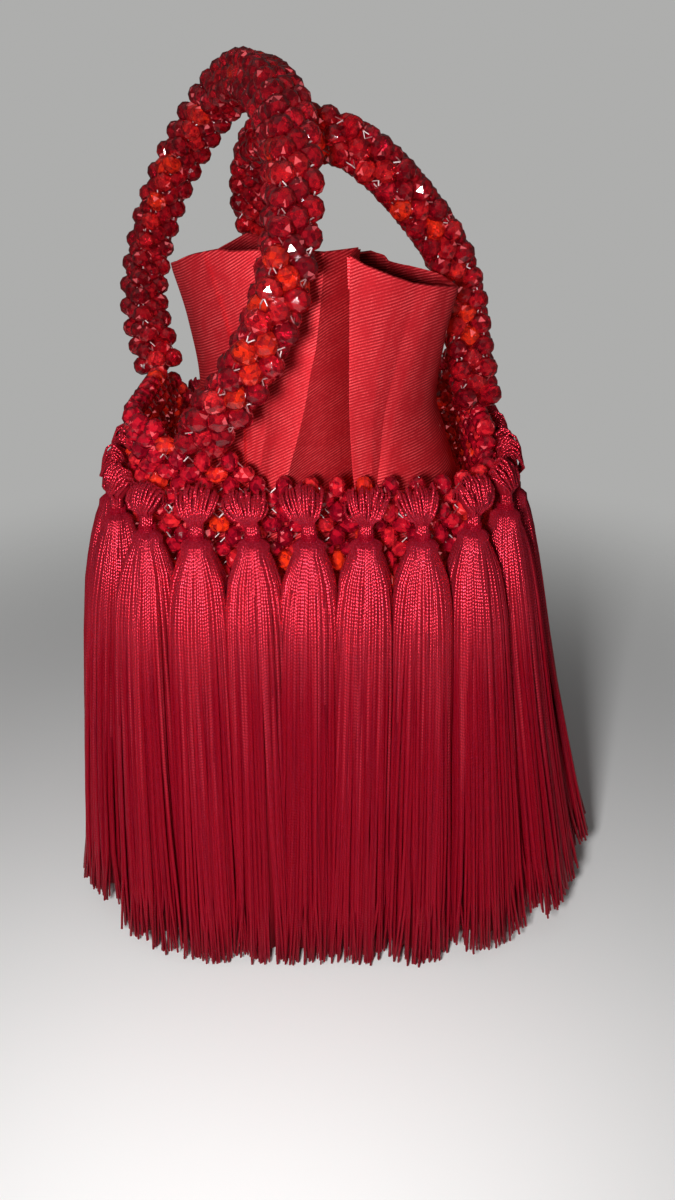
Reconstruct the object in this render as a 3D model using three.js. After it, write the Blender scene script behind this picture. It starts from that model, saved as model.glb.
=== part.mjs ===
// Small bucket bag woven from faceted beads. Two beaded rope handles, a satin pouch that lines the
// body and stands above the rim, and a ring of long thread tassels that hides the body.
// Millimetres, +Z up, origin at the centre of the base where it rests.
import * as THREE from "three";

// Bead weave
const BEAD_WIDTH = 6.5;        // across one bead
const COLUMNS = 52;            // weave columns round the body
const ROW_PITCH = 7.94;        // height of one weave row
const ROWS = 20;               // rows from the base to the rim row
const GAP = 0.3;               // clearance between separate pieces

// Body plan, on the centre line of the bead wall
const HALF_WIDTH = 56;
const HALF_DEPTH = 58;
const CORNER = 26;

// Heights
const RIM_Z = BEAD_WIDTH / 2 + ROWS * ROW_PITCH;
const BEAD_HALF = ROW_PITCH / 2 - GAP / 2;
const WALL_TOP = RIM_Z - BEAD_HALF - GAP;
const FOOT_Z = RIM_Z + ROW_PITCH + BEAD_HALF + GAP;

// Handle feet and tabs, counted in weave columns from the middle of the front
const LEFT_FEET = { front: -4, back: -17 };
const RIGHT_FEET = { front: 11, back: 22 };
const TAB_LOWER_REACH = 1.5;   // columns past each foot
const TAB_UPPER_SHORT = 1.5;   // columns short of each foot

// Beaded rope: four beads round the square at each row, four along its edges between rows
const ROPE_PITCH = 8;
const ROPE_RING = { face: 7.2, corner: 7.5 };
const ROPE_EDGE = { face: 5.4, corner: 8.7 };

// Tassels
const TASSELS = 28;
const TASSEL_START = -0.3;     // first tassel, along the ring from the middle of the front
const NECK_RING = 9;           // neck ring, outward from the wall's centre line
const LOCKS = 5;               // locks of thread round a skirt

// Tassel sections, top to bottom. out: outward of the wall's centre line before any flare.
// share: part of the room to the next tassel. deep: half depth. flare: part of the side's flare.
const TASSEL_SECTIONS = [
  { z: 165.0, out: 5.9, share: 0.62, deep: 2.3, groove: 0.9, flare: 0 },
  { z: 157.4, out: 6.8, share: 0.66, deep: 3.2, groove: 0.9, flare: 0 },
  { z: 153.6, out: 8.2, share: 0.24, deep: 1.9, groove: 1, flare: 0 },
  { z: 149.2, out: 8.8, share: 0.24, deep: 1.9, groove: 1, flare: 0 },
  { z: 145.0, out: 9.0, share: 0.74, deep: 5.2, groove: 0.88, flare: 0 },
  { z: 122.0, out: 11.5, share: 1, deep: 7.9, groove: 0.86, flare: 0.02 },
  { z: 62.0, out: 14.8, share: 0.96, deep: 10.0, groove: 0.84, flare: 0.42 },
  { z: 2.0, out: 15.8, share: 0.95, deep: 11.5, groove: 0.82, flare: 1 },
];

// How far the skirts stand out at the floor on each side, how much shorter they are cut there
// and how much higher their heads sit
const SIDES = [
  { side: "front", toward: -90, flare: 4, trim: 0, lift: 0 },
  { side: "right", toward: 0, flare: 20, trim: 13, lift: 4 },
  { side: "back", toward: 90, flare: 6, trim: 2, lift: 0 },
  { side: "left", toward: 180, flare: 5, trim: 7, lift: 2 },
];

// Pouch sections, bottom to top. tip: how far back its two side edges lie. front, back: depth from
// there. square: corner fullness. fold: share of the folds below.
const CLOTH = 1.4;
const POUCH_POINTS = 40;
const POUCH_TURN = -0.13;      // the mouth turns a little, right end nearer
const POUCH_SECTIONS = [
  { z: 7.2, half: 47, mid: 0, tip: 0, front: 49, back: 49, square: 3.2, fold: 0 },
  { z: 14, half: 51.6, mid: 0, tip: 0, front: 53.6, back: 53.6, square: 3.2, fold: 0 },
  { z: 140, half: 51.6, mid: 0, tip: 0, front: 53.6, back: 53.6, square: 3.2, fold: 0 },
  { z: 166, half: 44, mid: 0.5, tip: -4, front: 45.5, back: 46, square: 2.8, fold: 0.35 },
  { z: 184, half: 38.8, mid: 1.2, tip: -10, front: 36.5, back: 42, square: 2.6, fold: 0.7 },
  { z: 203, half: 40.5, mid: 0.8, tip: -18, front: 27, back: 39, square: 2.4, fold: 0.95 },
  { z: 219, half: 43.8, mid: 0.4, tip: -23, front: 19.5, back: 35, square: 2.2, fold: 1 },
];

// Folds of the pouch. at: degrees round from its right edge. reach: half width in degrees.
// out: how far the fold stands out (+) or in (-). lift: rise of the top edge there.
const POUCH_FOLDS = [
  { at: 290, reach: 9, out: 2.6, lift: 4 },
  { at: 267, reach: 10, out: -4.2, lift: 0 },
  { at: 249, reach: 8, out: 1.4, lift: 0 },
  { at: 237, reach: 7, out: -2.4, lift: 0 },
  { at: 222, reach: 9, out: 2.4, lift: 3 },
  { at: 318, reach: 9, out: -2.2, lift: -2 },
  { at: 355, reach: 8, out: 1.4, lift: -4 },
  { at: 60, reach: 16, out: -2.6, lift: 2 },
  { at: 100, reach: 14, out: 2.2, lift: 3 },
  { at: 140, reach: 16, out: -2.4, lift: 2 },
];

// Handle routes, foot to foot, along the middle of the rope
const LEFT_ROUTE = [
  { x: -31.5, y: -58.6, z: FOOT_Z },
  { x: -30.6, y: -60.2, z: 180 },
  { x: -21.5, y: -65.5, z: 191 },
  { x: -10.5, y: -67, z: 210 },
  { x: -5.4, y: -59, z: 227 },
  { x: -4.4, y: -44, z: 245 },
  { x: -6.9, y: -25, z: 260 },
  { x: -12.6, y: -5, z: 268 },
  { x: -21, y: 24, z: 272 },
  { x: -31, y: 44, z: 268 },
  { x: -43, y: 56, z: 256 },
  { x: -56, y: 63, z: 236 },
  { x: -64.4, y: 61, z: 214 },
  { x: -65.6, y: 50, z: 196 },
  { x: -61, y: 38.5, z: 182.5 },
  { x: -58.6, y: 35, z: FOOT_Z },
];
const RIGHT_ROUTE = [
  { x: 54.4, y: -17, z: FOOT_Z },
  { x: 53, y: -13.5, z: 182 },
  { x: 51.4, y: -7, z: 192 },
  { x: 49.2, y: -2, z: 206 },
  { x: 43.6, y: -3, z: 221 },
  { x: 30.6, y: -7.5, z: 238 },
  { x: 17, y: -11, z: 250.5 },
  { x: 6, y: -4, z: 255.5 },
  { x: -3.3, y: 14, z: 255.5 },
  { x: -12.7, y: 38, z: 254 },
  { x: -21, y: 58, z: 250 },
  { x: -25.2, y: 71, z: 240 },
  { x: -24, y: 77, z: 224 },
  { x: -13, y: 77.5, z: 209 },
  { x: 8, y: 73, z: 199 },
  { x: 23.5, y: 66, z: 191 },
  { x: 29.5, y: 60.5, z: 182.5 },
  { x: 30, y: 58.8, z: FOOT_Z },
];

const COLOURS = {
  bead: 0x8c1220,
  cloth: 0xb01a2c,
  thread: 0xa3122a,
};

const rad = THREE.MathUtils.degToRad;

// The plan's outline, moved outward, from the middle of the front towards +X.
function planPath(out) {
  const r = CORNER + out;
  const x = HALF_WIDTH - CORNER;
  const y = HALF_DEPTH - CORNER;
  const path = new THREE.Path();
  path.moveTo(0, -y - r);
  path.lineTo(x, -y - r);
  path.absarc(x, -y, r, rad(-90), 0, false);
  path.lineTo(x + r, y);
  path.absarc(x, y, r, 0, rad(90), false);
  path.lineTo(-x, y + r);
  path.absarc(-x, y, r, rad(90), rad(180), false);
  path.lineTo(-x - r, -y);
  path.absarc(-x, -y, r, rad(180), rad(270), false);
  path.lineTo(0, -y - r);
  return path;
}

const wallPath = planPath(0);
const wallLength = wallPath.getLength();
const neckPath = planPath(NECK_RING);
const neckLength = neckPath.getLength();

// A place on a path at a share of its length, with the direction that points outward there.
function placeOn(path, share) {
  const t = THREE.MathUtils.euclideanModulo(share, 1);
  const point = path.getPoint(t);
  const ahead = path.getPoint(THREE.MathUtils.euclideanModulo(t + 0.0004, 1));
  const behind = path.getPoint(THREE.MathUtils.euclideanModulo(t - 0.0004, 1));
  const along = ahead.sub(behind).normalize();
  return { point, along, out: new THREE.Vector2(along.y, -along.x) };
}

const onWall = (columns) => placeOn(wallPath, columns / COLUMNS);

// Closed solid through a row of rings with equal point counts.
function loft(rings, endless = false) {
  const count = rings[0].length;
  const points = rings.flat();
  const index = [];
  const bands = endless ? rings.length : rings.length - 1;
  for (let i = 0; i < bands; i += 1) {
    const low = i * count;
    const high = ((i + 1) % rings.length) * count;
    for (let j = 0; j < count; j += 1) {
      const next = (j + 1) % count;
      index.push(low + j, low + next, high + next);
      index.push(low + j, high + next, high + j);
    }
  }
  if (!endless) {
    const ends = [{ start: 0, first: true }, { start: (rings.length - 1) * count, first: false }];
    for (const { start, first } of ends) {
      const middle = new THREE.Vector3();
      for (let j = 0; j < count; j += 1) middle.add(points[start + j]);
      points.push(middle.divideScalar(count));
      const hub = points.length - 1;
      for (let j = 0; j < count; j += 1) {
        const next = (j + 1) % count;
        if (first) index.push(hub, start + next, start + j);
        else index.push(hub, start + j, start + next);
      }
    }
  }
  const geometry = new THREE.BufferGeometry().setFromPoints(points);
  geometry.setIndex(index);
  geometry.computeVertexNormals();
  return geometry;
}

// Bucket of bead weave: outer rings up, inner rings down to the floor of the bag.
function bodyGeometry() {
  const ring = (out, z) => {
    const path = planPath(out);
    const points = [];
    for (let i = 0; i < COLUMNS; i += 1) {
      const p = path.getPoint(i / COLUMNS);
      points.push(new THREE.Vector3(p.x, p.y, z));
    }
    return points;
  };
  const half = BEAD_WIDTH / 2;
  return loft([
    ring(half - 1.5, 0),
    ring(half, 1.5),
    ring(half, WALL_TOP),
    ring(-half, WALL_TOP),
    ring(-half, BEAD_WIDTH),
  ]);
}

// One row of beads along the wall between two columns: full at each bead, narrow between beads.
function rowGeometry(from, to, z, sides) {
  const beads = Math.round(to - from);
  const endless = beads === COLUMNS;
  const rings = [];
  const stations = endless ? beads * 2 : beads * 2 + 1;
  for (let i = 0; i < stations; i += 1) {
    const place = onWall(from + ((to - from) * i) / (beads * 2));
    const size = i % 2 === 1 ? 1 : 0.58;
    const ring = [];
    for (let j = 0; j < sides; j += 1) {
      const a = -((j + 0.5) / sides) * Math.PI * 2;
      const out = (Math.cos(a) * size * BEAD_WIDTH) / 2;
      const up = (Math.sin(a) * size * BEAD_HALF) / Math.cos(Math.PI / sides);
      ring.push(new THREE.Vector3(
        place.point.x + place.out.x * out,
        place.point.y + place.out.y * out,
        z + up,
      ));
    }
    rings.push(ring);
  }
  return loft(rings, endless);
}

// Beaded rope along a route: rows of four face beads, then four corner beads, in turn.
function ropeGeometry(route) {
  const curve = new THREE.CatmullRomCurve3(route.map((p) => new THREE.Vector3(p.x, p.y, p.z)));
  curve.arcLengthDivisions = 800;
  const units = Math.round(curve.getLength() / ROPE_PITCH);
  const steps = units * 2;
  const frames = curve.computeFrenetFrames(steps, false);
  const rings = [];
  for (let i = 0; i <= steps; i += 1) {
    const centre = curve.getPointAt(i / steps);
    const size = i % 2 === 0 ? ROPE_RING : ROPE_EDGE;
    const ring = [];
    for (let j = 0; j < 8; j += 1) {
      const a = (j / 8) * Math.PI * 2;
      const r = j % 2 === 0 ? size.face : size.corner;
      const point = centre.clone()
        .addScaledVector(frames.normals[i], Math.cos(a) * r)
        .addScaledVector(frames.binormals[i], Math.sin(a) * r);
      if (i === 0 || i === steps) point.z = FOOT_Z;
      ring.push(point);
    }
    rings.push(ring);
  }
  return loft(rings);
}

// The flare, trim and lift for skirts that face a given way.
function sideOf(out) {
  const mix = { flare: 0, trim: 0, lift: 0 };
  for (const row of SIDES) {
    const facing = Math.max(0, out.x * Math.cos(rad(row.toward)) + out.y * Math.sin(rad(row.toward)));
    for (const key of Object.keys(mix)) mix[key] += row[key] * facing * facing;
  }
  return mix;
}

// One tassel: crown, tied neck and a skirt in locks, hung from the wall.
function tasselGeometry(number) {
  const share = (number + TASSEL_START / (neckLength / TASSELS)) / TASSELS;
  const here = placeOn(neckPath, share);
  const sides = [-1, 1].map((step) => placeOn(neckPath, share + step / TASSELS));
  const mix = sideOf(here.out);
  const rings = TASSEL_SECTIONS.map((row) => {
    const out = row.out + mix.flare * row.flare;
    const away = (place) => place.point.clone().addScaledVector(place.out, out - NECK_RING);
    const centre = away(here);
    const room = Math.min(...sides.map((place) => away(place).distanceTo(centre)));
    const wide = ((room / 2 - GAP) / Math.cos(Math.PI / (LOCKS * 2))) * row.share;
    const top = row.z > 140;
    const z = top ? row.z + mix.lift : row.z + mix.trim * row.flare;
    const ring = [];
    for (let j = 0; j < LOCKS * 2; j += 1) {
      const a = -((j + 0.5) / (LOCKS * 2)) * Math.PI * 2;
      const size = j % 2 === 0 ? 1 : row.groove;
      const along = Math.cos(a) * wide * size;
      const outward = Math.sin(a) * row.deep * size;
      ring.push(new THREE.Vector3(
        centre.x + here.along.x * along + here.out.x * outward,
        centre.y + here.along.y * along + here.out.y * outward,
        z,
      ));
    }
    return ring;
  });
  return loft(rings.reverse());
}

// Outline of the pouch at one section, moved in by a distance.
function pouchRing(row, inset, bottom) {
  const outline = [];
  for (let i = 0; i < POUCH_POINTS; i += 1) {
    const a = (i / POUCH_POINTS) * Math.PI * 2;
    const c = Math.cos(a);
    const s = Math.sin(a);
    const power = 2 / row.square;
    const across = Math.sign(c) * Math.abs(c) ** power * row.half;
    const deep = Math.sign(s) * Math.abs(s) ** power * (s < 0 ? row.front : row.back);
    let out = 0;
    let lift = 0;
    for (const fold of POUCH_FOLDS) {
      let turn = THREE.MathUtils.radToDeg(a) - fold.at;
      turn -= Math.round(turn / 360) * 360;
      const weight = Math.exp(-((turn / fold.reach) ** 2)) * row.fold;
      out += fold.out * weight;
      lift += fold.lift * weight;
    }
    const length = Math.hypot(across, deep);
    const grow = (length + out) / length;
    const turnShare = row.fold * POUCH_TURN;
    outline.push({
      x: row.mid + across * grow,
      y: row.tip + deep * grow + across * turnShare,
      z: row.z + lift * row.fold,
    });
  }
  return outline.map((p, i) => {
    const before = outline[(i + POUCH_POINTS - 1) % POUCH_POINTS];
    const after = outline[(i + 1) % POUCH_POINTS];
    const along = new THREE.Vector2(after.x - before.x, after.y - before.y).normalize();
    const z = Math.max(p.z, bottom);
    return new THREE.Vector3(p.x - along.y * inset, p.y + along.x * inset, z);
  });
}

// Pouch of cloth: outer rings up, over the edge, inner rings down to its floor.
function pouchGeometry() {
  const floor = POUCH_SECTIONS[0].z + CLOTH;
  const outer = POUCH_SECTIONS.map((row) => pouchRing(row, 0, 0));
  const inner = POUCH_SECTIONS.map((row) => pouchRing(row, CLOTH, floor));
  return loft([...outer, ...inner.reverse()]);
}

const bag = new THREE.Group();
bag.name = "beaded_bag";

function addPiece(name, geometry, colour, roughness) {
  const material = new THREE.MeshStandardMaterial({ color: colour, roughness });
  material.name = name;
  const mesh = new THREE.Mesh(geometry, material);
  mesh.name = name;
  bag.add(mesh);
}

const tabLower = (feet) => [feet.front, feet.back].sort((a, b) => a - b);

addPiece("beaded_body", bodyGeometry(), COLOURS.bead, 0.2);
addPiece("rim_beads", rowGeometry(0.5, COLUMNS + 0.5, RIM_Z, 8), COLOURS.bead, 0.2);
for (const [side, feet] of [["left", LEFT_FEET], ["right", RIGHT_FEET]]) {
  const [low, high] = tabLower(feet);
  const lower = rowGeometry(low - TAB_LOWER_REACH, high + TAB_LOWER_REACH, RIM_Z + ROW_PITCH, 8);
  const upper = rowGeometry(low + TAB_UPPER_SHORT, high - TAB_UPPER_SHORT, RIM_Z + ROW_PITCH * 2, 8);
  addPiece(`${side}_tab_lower_row`, lower, COLOURS.bead, 0.2);
  addPiece(`${side}_tab_upper_row`, upper, COLOURS.bead, 0.2);
}
addPiece("left_handle", ropeGeometry(LEFT_ROUTE), COLOURS.bead, 0.2);
addPiece("right_handle", ropeGeometry(RIGHT_ROUTE), COLOURS.bead, 0.2);
addPiece("lining_pouch", pouchGeometry(), COLOURS.cloth, 0.4);
for (let i = 0; i < TASSELS; i += 1) {
  const name = `tassel_${String(i + 1).padStart(2, "0")}`;
  addPiece(name, tasselGeometry(i), COLOURS.thread, 0.6);
}

export default bag;
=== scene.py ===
import math

import bpy
import numpy as np
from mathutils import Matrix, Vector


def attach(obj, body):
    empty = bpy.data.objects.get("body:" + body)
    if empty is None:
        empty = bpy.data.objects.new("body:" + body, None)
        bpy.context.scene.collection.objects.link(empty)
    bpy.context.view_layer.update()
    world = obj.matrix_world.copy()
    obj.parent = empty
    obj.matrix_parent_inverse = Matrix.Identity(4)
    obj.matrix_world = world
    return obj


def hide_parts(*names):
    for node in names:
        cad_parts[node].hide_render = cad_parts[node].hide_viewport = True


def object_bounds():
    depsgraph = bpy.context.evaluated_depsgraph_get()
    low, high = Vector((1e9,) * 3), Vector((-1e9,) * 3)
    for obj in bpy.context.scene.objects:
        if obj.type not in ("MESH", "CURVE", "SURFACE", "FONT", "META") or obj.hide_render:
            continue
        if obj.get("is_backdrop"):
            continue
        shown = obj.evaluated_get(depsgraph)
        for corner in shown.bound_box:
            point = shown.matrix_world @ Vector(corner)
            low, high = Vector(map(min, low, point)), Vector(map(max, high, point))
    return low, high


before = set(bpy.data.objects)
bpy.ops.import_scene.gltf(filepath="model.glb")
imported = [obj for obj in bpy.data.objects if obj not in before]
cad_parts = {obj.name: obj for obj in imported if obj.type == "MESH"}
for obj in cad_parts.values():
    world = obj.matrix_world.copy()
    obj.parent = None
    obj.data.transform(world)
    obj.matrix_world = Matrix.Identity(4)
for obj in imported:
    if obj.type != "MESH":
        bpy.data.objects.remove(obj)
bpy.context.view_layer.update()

# Beaded body. A bucket woven in right-angle weave from cut ruby glass beads on clear nylon line:
# in each row the beads lie along the wall, and between rows they stand upright. The floor is the
# same weave laid flat. Hidden by the tassels except from below.
MM = 0.001
COLUMNS, ROWS, ROW_PITCH = 52, 20, 7.94
HALF_WIDTH, HALF_DEPTH, CORNER = 56.0, 58.0, 26.0
FIRST_ROW = 3.25
FINE_ROWS = 5                    # rows under the rim that show between the tassel heads
BASE_BEADS, BASE_EDGE = 9, 5.6   # beads from the middle of the floor to its side, and room left by the wall
BEAD_LENGTH = 4.9
PLAIN_CUT = ((-2.45, 1.5), (0.0, 3.3), (2.45, 1.5))   # place along a bead, radius there
BEAD_SKEW = (0.31, 0.52, 0.79)   # a way that no bead lies along
BODY_LIT, BODY_SEED = 0.12, 11   # share of the beads given painted light, and the seed of their order
FIRE_SHARE = 0.30                # share of those with painted fire in them
DEEP, WARM, FIRE = 0.24, 0.32, 0.76   # what random tone, painted light and painted fire add to a bead's glow value
# colour of the painted glow that the body's beads give off, and how clear their glass is
BODY_SPARK, BODY_CLEAR = (0.26, 0.008, 0.004), 0.4
CELLS = 720.0                    # painted patches of refracted light to the metre
# colour of the painted shade at a bead's rim
RUBY_RIM_SHADE = (0.11, 0.001, 0.007)
PAINTED_GLINTS, PAINTED_GLINT = 0.055, (0.46, 0.10, 0.11)   # share of facets given painted highlights, and their colour
RUBY_CORES = (   # place on the scale of random tone and painted glow, colour of the bead's core; the bright end is painted light
    (0.0, (0.28, 0.002, 0.016)),
    (0.25, (0.62, 0.006, 0.026)),
    (0.6, (0.85, 0.024, 0.036)),
    (1.0, (0.86, 0.040, 0.006)),
)


def round_the_wall(out, share):
    """Point, way along and way outward on the bag's plan, at a distance out from the wall's middle line."""
    share = np.atleast_1d(np.asarray(share, float)) % 1.0
    r, x, y = CORNER + out, HALF_WIDTH - CORNER, HALF_DEPTH - CORNER
    bend = math.pi * r / 2
    legs = (
        (False, x, (0, -y - r), 0), (True, bend, (x, -y), -90), (False, 2 * y, (x + r, -y), 90),
        (True, bend, (x, y), 0), (False, 2 * x, (x, y + r), 180), (True, bend, (-x, y), 90),
        (False, 2 * y, (-x - r, y), 270), (True, bend, (-x, -y), 180), (False, x, (-x, -y - r), 0),
    )
    reach = share * sum(leg[1] for leg in legs)
    point, along, done = np.zeros((len(share), 2)), np.zeros((len(share), 2)), 0.0
    for bent, length, at, heading in legs:
        here = (reach >= done) & (reach <= done + length)
        turn = math.radians(heading) + (reach[here] - done) / r * bent
        way = np.stack((np.cos(turn), np.sin(turn)), 1)
        if bent:
            point[here], along[here] = np.array(at) + r * way, np.stack((-way[:, 1], way[:, 0]), 1)
        else:
            point[here], along[here] = np.array(at) + (reach[here] - done)[:, None] * way, way
        done += length
    return point, along, np.stack((along[:, 1], -along[:, 0]), 1)


def on_wall(columns, z, out=0.0):
    """Places on the wall at weave columns and a height, with the way along the row there."""
    point, along, away = round_the_wall(0.0, np.asarray(columns, float) / COLUMNS)
    point = point + away * out
    flat = np.zeros((len(point), 1))
    return np.hstack((point, flat + z)), np.hstack((along, flat))


def cut_bead(rings, sides=8):
    """Points and triangles of a cut bead along Z: a disc drawn out in rings, each turned half a facet."""
    bpy.ops.object.select_all(action="DESELECT")
    (height, radius), *others = rings
    bpy.ops.mesh.primitive_circle_add(vertices=sides, radius=radius, fill_type="NGON")
    bead = bpy.context.object
    bpy.ops.object.mode_set(mode="EDIT")
    bpy.ops.mesh.select_all(action="SELECT")
    bpy.ops.transform.translate(value=(0, 0, height))
    for next_height, next_radius in others:
        bpy.ops.mesh.extrude_region_move(TRANSFORM_OT_translate={"value": (0, 0, next_height - height)})
        grow = next_radius / radius
        bpy.ops.transform.resize(value=(grow, grow, 1), center_override=(0, 0, 0))
        bpy.ops.transform.rotate(value=math.pi / sides, orient_axis="Z", center_override=(0, 0, 0))
        height, radius = next_height, next_radius
    bpy.ops.mesh.select_all(action="SELECT")
    bpy.ops.mesh.normals_make_consistent(inside=False)
    bpy.ops.object.mode_set(mode="OBJECT")
    points = np.array([v.co for v in bead.data.vertices])
    turn = np.degrees(np.arctan2(points[:, 1], points[:, 0])).round(2) % 360
    order = np.lexsort((turn, points[:, 2].round(3)))    # the operators' own order changes from run to run
    points, rank = points[order], np.argsort(order)
    faces = []
    for polygon in bead.data.polygons:
        corners = rank[list(polygon.vertices)]
        corners = np.roll(corners, -np.argmin(corners))
        spans = np.linalg.norm(points[corners[2:4]] - points[corners[0:2]], axis=1)
        if len(corners) == 4 and spans[0] > spans[1]:
            corners = np.roll(corners, -1)
        faces += [(corners[0], corners[k], corners[k + 1]) for k in range(1, len(corners) - 1)]
    bpy.data.meshes.remove(bead.data)
    return points, np.array(sorted(faces))


def make_piece(name, points, faces, smooth, material):
    """A piece at the origin from points in millimetres and faces of equal corner count."""
    mesh = bpy.data.meshes.new(name)
    count, corners = faces.shape
    mesh.vertices.add(len(points))
    mesh.vertices.foreach_set("co", (points * MM).astype(np.float32).ravel())
    mesh.loops.add(count * corners)
    mesh.loops.foreach_set("vertex_index", faces.astype(np.int32).ravel())
    mesh.polygons.add(count)
    mesh.polygons.foreach_set("loop_start", np.arange(count, dtype=np.int32) * corners)
    mesh.polygons.foreach_set("use_smooth", np.full(count, smooth))
    mesh.update(calc_edges=True)
    mesh.materials.append(material)
    piece = bpy.data.objects.new(name, mesh)
    bpy.context.scene.collection.objects.link(piece)
    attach(piece, "root")
    return piece


def note_on_faces(piece, name, values):
    """Keeps one number per face on the piece, for its material to read."""
    piece.data.attributes.new(name, "FLOAT", "FACE").data.foreach_set("value", np.asarray(values, np.float32))


def string_beads(name, bead, centres, axes, lit, seed, material):
    """One mesh of many beads, each on its own axis, rolled by chance; lit is the share of beads given painted
    light.
    """
    chance = np.random.default_rng(seed)
    points, faces = bead
    count = len(centres)
    w = axes / np.linalg.norm(axes, axis=1, keepdims=True)
    u = np.cross(w, BEAD_SKEW)
    u /= np.linalg.norm(u, axis=1, keepdims=True)
    v = np.cross(w, u)
    roll = chance.uniform(0, 2 * math.pi, (count, 1))
    u, v = u * np.cos(roll) + v * np.sin(roll), v * np.cos(roll) - u * np.sin(roll)
    placed = (centres[:, None] + points[None, :, 0:1] * u[:, None] + points[None, :, 1:2] * v[:, None]
              + points[None, :, 2:3] * w[:, None])
    joined = faces[None] + np.arange(count)[:, None, None] * len(points)
    piece = make_piece(name, placed.reshape(-1, 3), joined.reshape(-1, 3), False, material)
    # painted light: a glow value per bead, random tone plus painted light and fire, and a random value per
    # face for painted facet shade and highlights
    kind = chance.random(count) / lit
    glow = chance.uniform(0.0, DEEP, count)
    glow += np.where(kind < FIRE_SHARE, FIRE, np.where(kind < 1.0, WARM, 0.0))
    note_on_faces(piece, "glow", np.repeat(glow, len(faces)))
    note_on_faces(piece, "facet", chance.random(count * len(faces)))
    return piece


class Shade:
    """An output socket in a material, so that sums on values read as plain Python and add Math nodes."""

    def __init__(self, tree, socket=None):
        self.tree, self.socket = tree, socket

    def node(self, kind, settings=None, values=None, out=0):
        """Adds a node: settings first, then the values or links of its sockets; gives one of its outputs."""
        made = self.tree.nodes.new(kind)
        for name, value in (settings or {}).items():
            if name == "stops":
                ramp = made.color_ramp
                while len(ramp.elements) < len(value):
                    ramp.elements.new(0.5)
                for element, (place, colour) in zip(ramp.elements, value):
                    element.position, element.color = place, (*colour, 1)
            else:
                setattr(made, name, value)
        for name, value in (values or {}).items():
            if isinstance(value, Shade):
                self.tree.links.new(value.socket, made.inputs[name])
            else:
                made.inputs[name].default_value = value
        return Shade(self.tree, made.outputs[out] if len(made.outputs) else None)

    def sum(self, operation, first, second=0.0):
        """A Math node on one or two values."""
        return self.node("ShaderNodeMath", {"operation": operation}, {0: first, 1: second})

    def __add__(self, other):
        return self.sum("ADD", self, other)

    def __radd__(self, other):
        return self.sum("ADD", other, self)

    def __sub__(self, other):
        return self.sum("SUBTRACT", self, other)

    def __rsub__(self, other):
        return self.sum("SUBTRACT", other, self)

    def __mul__(self, other):
        return self.sum("MULTIPLY", self, other)

    def __rmul__(self, other):
        return self.sum("MULTIPLY", other, self)

    def __truediv__(self, other):
        return self.sum("DIVIDE", self, other)

    def mix(self, first, second):
        """From the first colour to the second by this value."""
        first, second = (c if isinstance(c, Shade) else (*c, 1) for c in (first, second))
        return self.node("ShaderNodeMix", {"data_type": "RGBA"}, {0: self, 6: first, 7: second}, out=2)


def new_material(name):
    """An empty procedural material and a Shade to build its nodes with."""
    material = bpy.data.materials.new(name)
    material.use_nodes = True
    material.node_tree.nodes.clear()
    return material, Shade(material.node_tree)


def finish_material(shade, plain, **varied):
    """The Principled shader: plain numbers on its own sockets, varied ones linked."""
    values = dict(plain)
    values.update({name.replace("_", " "): value for name, value in varied.items()})
    surface = shade.node("ShaderNodeBsdfPrincipled", None, values)
    shade.node("ShaderNodeOutputMaterial", None, {"Surface": surface})


def glass_material(name, spark, clear):
    """Cut ruby glass: a core with its own depth of colour, painted shade darker to the rim and from facet to
    facet, and painted light given off.
    """
    material, shade = new_material(name)
    facet = shade.node("ShaderNodeAttribute", {"attribute_name": "facet"}, out=2)
    glow = shade.node("ShaderNodeAttribute", {"attribute_name": "glow"}, out=2)
    place = shade.node("ShaderNodeTexCoord", None, None, out=3)
    cell = shade.node("ShaderNodeTexVoronoi", None, {"Vector": place, "Scale": CELLS}, out=1)
    inner = shade.sum("MULTIPLY", cell, 1.0)    # the cell's colour as one number: painted patches of refracted light
    depth = glow + (facet - 0.5) * 0.25 + (inner - 0.5) * 0.3
    core = shade.node("ShaderNodeValToRGB", {"stops": RUBY_CORES}, {0: depth})
    edge = shade.node("ShaderNodeLayerWeight", None, {"Blend": 0.5}, out=1)
    # painted shade: darker towards the rim as the surface turns away, from facet to facet and from cell to
    # cell
    colour = (edge * 0.85 + (1 - facet) * 0.25 + (0.5 - inner) * 1.1).mix(core, RUBY_RIM_SHADE)
    # painted light: the emission is a painted glow in the glass, and a few facets get a painted highlight
    light = ((glow * glow * facet * 1.8 + 0.22) * inner * (1 - edge)).mix((0, 0, 0), spark)
    bright = shade.sum("GREATER_THAN", facet, 1 - PAINTED_GLINTS)
    painted_glint = bright * shade.sum("GREATER_THAN", inner, 0.45) * (1 - edge)
    light = painted_glint.mix(light, PAINTED_GLINT)
    plain = {"Roughness": 0.06, "IOR": 1.5, "Specular IOR Level": 0.3, "Emission Strength": 1.0,
             "Transmission Weight": clear}
    finish_material(shade, plain, Base_Color=colour, Emission_Color=light)
    return material


ruby_glass = glass_material("ruby_glass", BODY_SPARK, BODY_CLEAR)
plain_bead = cut_bead(PLAIN_CUT)

wall_places, wall_axes = [], []
for row in range(ROWS - FINE_ROWS + 1):
    z = FIRST_ROW + row * ROW_PITCH
    lying, along = on_wall(np.arange(COLUMNS), z)
    upright, _ = on_wall(np.arange(COLUMNS) + 0.5, z + ROW_PITCH / 2)
    wall_places += [lying, upright]
    wall_axes += [along, np.tile((0.0, 0.0, 1.0), (COLUMNS, 1))]

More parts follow.
